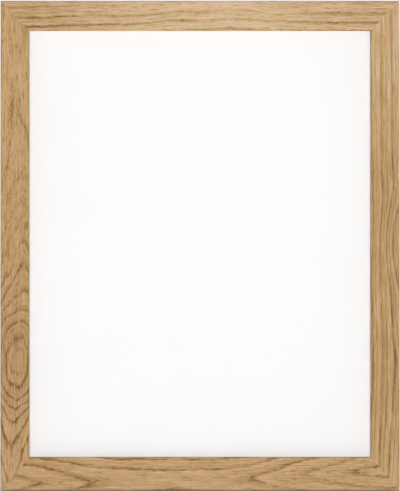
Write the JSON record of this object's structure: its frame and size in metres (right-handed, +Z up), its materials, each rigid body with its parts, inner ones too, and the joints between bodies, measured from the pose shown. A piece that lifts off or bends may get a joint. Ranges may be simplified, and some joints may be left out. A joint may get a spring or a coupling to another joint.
{
  "type": "picture frame",
  "caption": "Mitred oak picture frame with glass, a white insert and backing board held by turn buttons, a folding easel strut and saw-tooth hangers.",
  "frame": {"origin": "on the shelf, at the bottom centre of the standing frame's box, strut open", "axes": "+Z up, -Y the way the picture faces, +X the picture's right as seen from the front; the frame leans back 15 degrees"},
  "size_m": [0.226, 0.1052, 0.2717],
  "materials": {
    "oak": "natural oak, open grained, clear matt lacquer",
    "glass": "clear float glass, 2 mm",
    "white_paper": "smooth white insert",
    "grey_card": "plain grey board",
    "hardboard": "brown pressed hardboard, smooth side out",
    "brassed_steel": "thin brass plate on stamped steel",
    "bright_steel": "bright zinc plate"
  },
  "bodies": {
    "frame": {"left_stile": "oak", "right_stile": "oak", "top_rail": "oak", "bottom_rail": "oak", "corner_v_nails": "bright_steel", "glass_pane": "glass", "picture_insert": "white_paper", "filler_card": "grey_card", "backing_board": "hardboard", "turn_button_screws": "bright_steel", "sawtooth_hanger_top": "bright_steel", "sawtooth_hanger_side": "bright_steel", "hanger_nails": "bright_steel", "strut_hinge_base": "bright_steel", "strut_hinge_pin": "bright_steel", "board_rivets": "bright_steel"},
    "strut": {"strut_leaf": "hardboard", "strut_hinge_clip": "bright_steel", "strut_rivets": "bright_steel"},
    "turn_button_top_left": {"turn_button_top_left": "brassed_steel"},
    "turn_button_top_right": {"turn_button_top_right": "brassed_steel"},
    "turn_button_bottom_left": {"turn_button_bottom_left": "brassed_steel"},
    "turn_button_bottom_right": {"turn_button_bottom_right": "brassed_steel"},
    "turn_button_left_upper": {"turn_button_left_upper": "brassed_steel"},
    "turn_button_left_lower": {"turn_button_left_lower": "brassed_steel"},
    "turn_button_right_upper": {"turn_button_right_upper": "brassed_steel"},
    "turn_button_right_lower": {"turn_button_right_lower": "brassed_steel"}
  },
  "joints": [
    {"name": "strut_fold", "type": "hinge", "parent": "frame", "child": "strut", "pos_m": [0, 0.0075, 0.16346], "axis": [-1, 0, 0], "range_deg": [0, 30]},
    {"name": "turn_button_top_left_turn", "type": "hinge", "parent": "frame", "child": "turn_button_top_left", "pos_m": [-0.06, 0.0318, 0.26322], "axis": [0, 0.9659, -0.2588], "continuous": true},
    {"name": "turn_button_top_right_turn", "type": "hinge", "parent": "frame", "child": "turn_button_top_right", "pos_m": [0.06, 0.0318, 0.26322], "axis": [0, 0.9659, -0.2588], "continuous": true},
    {"name": "turn_button_bottom_left_turn", "type": "hinge", "parent": "frame", "child": "turn_button_bottom_left", "pos_m": [-0.06, -0.03722, 0.00565], "axis": [0, 0.9659, -0.2588], "continuous": true},
    {"name": "turn_button_bottom_right_turn", "type": "hinge", "parent": "frame", "child": "turn_button_bottom_right", "pos_m": [0.06, -0.03722, 0.00565], "axis": [0, 0.9659, -0.2588], "continuous": true},
    {"name": "turn_button_left_upper_turn", "type": "hinge", "parent": "frame", "child": "turn_button_left_upper", "pos_m": [-0.10765, 0.01528, 0.20159], "axis": [0, 0.9659, -0.2588], "continuous": true},
    {"name": "turn_button_left_lower_turn", "type": "hinge", "parent": "frame", "child": "turn_button_left_lower", "pos_m": [-0.10765, -0.02095, 0.06636], "axis": [0, 0.9659, -0.2588], "continuous": true},
    {"name": "turn_button_right_upper_turn", "type": "hinge", "parent": "frame", "child": "turn_button_right_upper", "pos_m": [0.10765, 0.01528, 0.20159], "axis": [0, 0.9659, -0.2588], "continuous": true},
    {"name": "turn_button_right_lower_turn", "type": "hinge", "parent": "frame", "child": "turn_button_right_lower", "pos_m": [0.10765, -0.02095, 0.06636], "axis": [0, 0.9659, -0.2588], "continuous": true}
  ]
}
